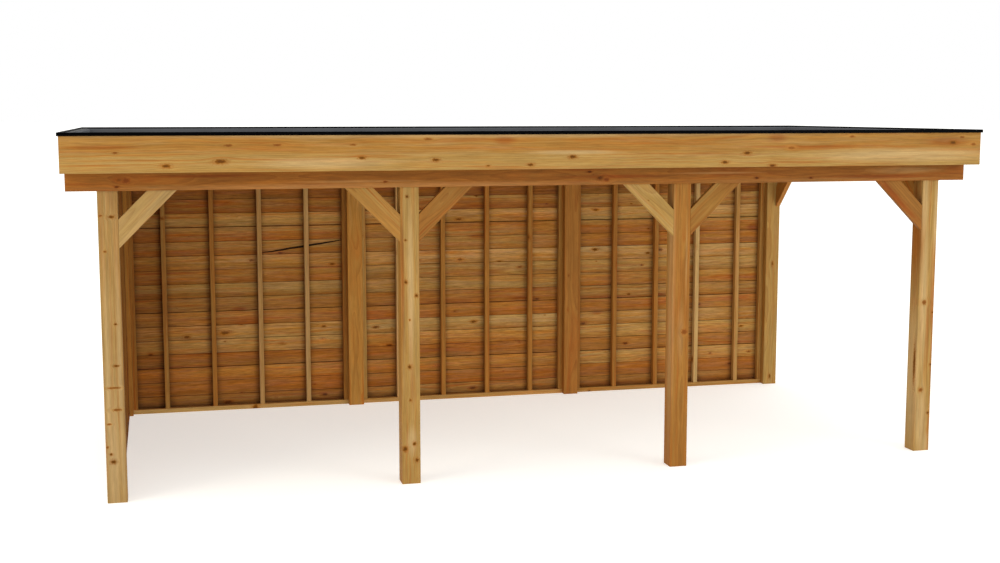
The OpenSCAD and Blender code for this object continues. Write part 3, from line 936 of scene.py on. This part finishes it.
class VERANDA_OT_roof_frame(bpy.types.Operator):
    """Dresses the rafters and kerbs, and lays the roof boards one by one"""
    bl_idname = "veranda.roof_frame"
    bl_label = "Roof frame"

    def execute(self, context):
        wood = context.scene.veranda_wood
        material = douglas_fir("Douglas fir, planed, rafters", wood, PLANED)
        for node in ("rafters", "kerb_long", "kerb_short"):
            timber(node, material, "framing", wood.framing_arris)
        self.roof_boards(wood, material)
        return {"FINISHED"}

    def roof_boards(self, wood, material):
        """Two boards to a row, with the butt joints staggered from row to row."""
        low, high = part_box("roof_deck")
        rows = round((high.y - low.y) / wood.roof_board)
        cover = (high.y - low.y) / rows
        step = (high.x - low.x) / RAFTER_GAPS
        half = ROOF_GAP / 2
        bm = bmesh.new()
        for row in range(rows):
            y0, y1 = low.y + row * cover + half, low.y + (row + 1) * cover - half
            joint = low.x + step * JOINT_RAFTERS[row % 2]
            for start, end in ((low.x, joint), (joint, high.x)):
                prism(bm, [(y0, low.z), (y1, low.z), (y1, high.z), (y0, high.z)], ALONG_X,
                      start + half, end - half)
        ease(bm, wood.roof_arris, 1)
        lay_grain(bm, random.Random("roof boards"), spread=0.2)
        piece("roof_boards", bm, material, "framing", "roof_deck")


class VERANDA_OT_roof_sheet(bpy.types.Operator):
    """Lays the rubber sheet over the roof boards and the kerb"""
    bl_idname = "veranda.roof_sheet"
    bl_label = "Roof sheet"

    def execute(self, context):
        roof = context.scene.veranda_roof
        low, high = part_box("roof_membrane")
        kerb_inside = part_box("kerb_short")[0].y
        inset = kerb_inside - low.y + roof.sheet
        flat_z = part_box("roof_deck")[1].z + roof.sheet
        bm = bmesh.new()
        rings = [self.ring(bm, low, high, d, z) for d, z in self.profile(roof, inset, high.z, flat_z)]
        for outer, inner in zip(rings, rings[1:]):
            for i in range(len(outer)):
                bm.faces.new((outer[i - 1], outer[i], inner[i], inner[i - 1]))
        self.flat(bm, roof, rings[-1])
        bmesh.ops.recalc_face_normals(bm, faces=bm.faces)
        sheet = piece("roof_sheet", bm, epdm_rubber(roof), "roof_sheet", "roof_membrane")
        for face in sheet.data.polygons:
            face.use_smooth = True
        solid = sheet.modifiers.new("thickness", "SOLIDIFY")
        solid.thickness = roof.sheet
        solid.offset = -1
        return {"FINISHED"}

    def profile(self, roof, inset, top, flat_z):
        """The sheet's run inwards from the fascia's face, as (distance, height): over the kerb, round
        a fold, down, round another and out on the roof boards."""
        r = roof.fold
        turns = [math.radians(90 * i / FOLD_STEPS) for i in range(FOLD_STEPS + 1)]
        return [
            (0.0, top), (FLAT_RUN, top),
            *((inset - r + r * math.sin(a), top - r + r * math.cos(a)) for a in turns),
            *((inset + r - r * math.cos(a), flat_z + r - r * math.sin(a)) for a in turns),
            (inset + r + FLAT_RUN, flat_z)]

    def around(self):
        """The places on the rim of the sheet's grid, in order: (column, row)."""
        columns, rows = SHEET_COLUMNS, SHEET_ROWS
        return [
            *((i, 0) for i in range(columns)),
            *((columns, j) for j in range(rows)),
            *((i, rows) for i in range(columns, 0, -1)),
            *((0, j) for j in range(rows, 0, -1))]

    def ring(self, bm, low, high, inset, z):
        """A rectangle of points, inset from the roof's outline."""
        x0, x1, y0, y1 = low.x + inset, high.x - inset, low.y + inset, high.y - inset
        return [bm.verts.new((x0 + (x1 - x0) * i / SHEET_COLUMNS, y0 + (y1 - y0) * j / SHEET_ROWS, z))
                for i, j in self.around()]

    def flat(self, bm, roof, edge):
        """Fills the sheet's middle with a grid that lies in shallow dips."""
        grid = dict(zip(self.around(), edge))
        (x0, y0, z), (x1, y1, _) = grid[0, 0].co, grid[SHEET_COLUMNS, SHEET_ROWS].co
        for i in range(1, SHEET_COLUMNS):
            for j in range(1, SHEET_ROWS):
                x, y = x0 + (x1 - x0) * i / SHEET_COLUMNS, y0 + (y1 - y0) * j / SHEET_ROWS
                lift = 1 + noise.noise(Vector((x * 1.6, y * 1.1, 3.7)))
                grid[i, j] = bm.verts.new((x, y, z + roof.sag * lift))
        for i in range(SHEET_COLUMNS):
            for j in range(SHEET_ROWS):
                bm.faces.new((grid[i, j], grid[i + 1, j], grid[i + 1, j + 1], grid[i, j + 1]))


class VERANDA_OT_fascias(bpy.types.Operator):
    """Dresses the deep fascia boards"""
    bl_idname = "veranda.fascias"
    bl_label = "Fascias"

    def execute(self, context):
        wood = context.scene.veranda_wood
        own = douglas_fir("Douglas fir, planed, front fascia", wood, PLANED_FRONT, FRONT_FASCIA)
        plain = douglas_fir("Douglas fir, planed, fascias", wood, PLANED)
        timber("fascia_front", own, "fascia_boards", wood.framing_arris, FRONT_FASCIA)
        for node in ("fascia_back", "fascia_left", "fascia_right"):
            cut = Cut(pith=(0.31, 0.1), heart=0.2)
            timber(node, plain, "fascia_boards", wood.framing_arris, cut)
        return {"FINISHED"}


class VERANDA_OT_edge_trim(bpy.types.Operator):
    """Coats the metal roof edge"""
    bl_idname = "veranda.edge_trim"
    bl_label = "Edge trim"

    def execute(self, context):
        roof = context.scene.veranda_roof
        material = coated_aluminium(roof)
        for side in ("front", "back", "left", "right"):
            bm = cad_solids(f"trim_{side}")
            ease(bm, roof.trim_arris)
            piece(f"edge_trim_{side}", bm, material, "roof_edge", f"trim_{side}")
        return {"FINISHED"}


# ---- Stage ----

# Each lamp's place in front of the veranda, its watts at a key strength of 1, and its colour.
LAMPS = {
    "right_lamp": ((9, -12, 5), 950, "#ffffff"),
    "left_lamp": ((-13.5, -7, 5), 1600, "#fff0d8"),
}
LAMP_SIZE = 7.0
LAMP_AIM = (0, 0, 1.2)
FLOOR_SIZE = 400
SENSOR_WIDTH = 36            # millimetres


class VERANDA_OT_stage(bpy.types.Operator):
    """Sets up the pale floor, the soft light and the camera"""
    bl_idname = "veranda.stage"
    bl_label = "Stage"

    def execute(self, context):
        scene = context.scene
        stage = scene.veranda_stage
        scene.view_settings.view_transform = "Standard"
        self.floor(scene, stage)
        self.sky(scene, stage)
        for name, (place, power, tint) in LAMPS.items():
            self.lamp(scene, name, place, stage.key * power, srgb(tint))
        camera = bpy.data.objects.new("camera", bpy.data.cameras.new("camera"))
        scene.collection.objects.link(camera)
        camera.data.lens = stage.lens
        camera.data.sensor_width = SENSOR_WIDTH
        camera.location = stage.camera
        camera.rotation_euler = (math.radians(90) - stage.dip, 0, -stage.turn)
        scene.camera = camera
        return {"FINISHED"}

    def floor(self, scene, stage):
        bm = bmesh.new()
        bmesh.ops.create_grid(bm, x_segments=1, y_segments=1, size=FLOOR_SIZE)
        mesh = bpy.data.meshes.new("studio_floor")
        bm.to_mesh(mesh)
        bm.free()
        mesh.materials.append(painted_floor(stage))
        floor = bpy.data.objects.new("studio_floor", mesh)
        scene.collection.objects.link(floor)

    def sky(self, scene, stage):
        world = bpy.data.worlds.new("studio")
        scene.world = world
        world.use_nodes = True
        light = world.node_tree.nodes["Background"].inputs
        light["Color"].default_value = srgb("#ffffff")
        light["Strength"].default_value = stage.sky

    def lamp(self, scene, name, place, power, tint):
        data = bpy.data.lights.new(name, "AREA")
        data.shape = "SQUARE"
        data.size = LAMP_SIZE
        data.energy = power
        data.color = tint[:3]
        lamp = bpy.data.objects.new(name, data)
        lamp.location = place
        aim = Vector(LAMP_AIM) - Vector(place)
        lamp.rotation_euler = aim.to_track_quat("-Z", "Y").to_euler()
        scene.collection.objects.link(lamp)


# ---- Panel and running order ----

STEPS = (
    VERANDA_OT_posts, VERANDA_OT_beams, VERANDA_OT_braces, VERANDA_OT_wall_frames,
    VERANDA_OT_wall_boards, VERANDA_OT_roof_frame, VERANDA_OT_roof_sheet, VERANDA_OT_fascias,
    VERANDA_OT_edge_trim, VERANDA_OT_stage,
)


class VERANDA_PT_panel(bpy.types.Panel):
    """Lists the steps and settings in the 3D view's sidebar"""
    bl_idname = "VERANDA_PT_panel"
    bl_label = "Veranda"
    bl_space_type = "VIEW_3D"
    bl_region_type = "UI"
    bl_category = "Veranda"

    def draw(self, context):
        for step in STEPS:
            self.layout.operator(step.bl_idname)
        for name, group in SETTINGS.items():
            box = self.layout.box()
            for prop in group.__annotations__:
                box.prop(getattr(context.scene, name), prop)


SETTINGS = {
    "veranda_wood": VERANDA_PG_wood,
    "veranda_roof": VERANDA_PG_roof,
    "veranda_stage": VERANDA_PG_stage,
}


def register():
    for cls in (*SETTINGS.values(), *STEPS, VERANDA_PT_panel):
        bpy.utils.register_class(cls)
    for name, group in SETTINGS.items():
        setattr(bpy.types.Scene, name, PointerProperty(type=group))


def unregister():
    for name in SETTINGS:
        delattr(bpy.types.Scene, name)
    for cls in (VERANDA_PT_panel, *reversed(STEPS), *SETTINGS.values()):
        bpy.utils.unregister_class(cls)


def main():
    register()
    for step in STEPS:
        area, name = step.bl_idname.split(".")
        getattr(getattr(bpy.ops, area), name)()


if __name__ == "__main__":
    main()
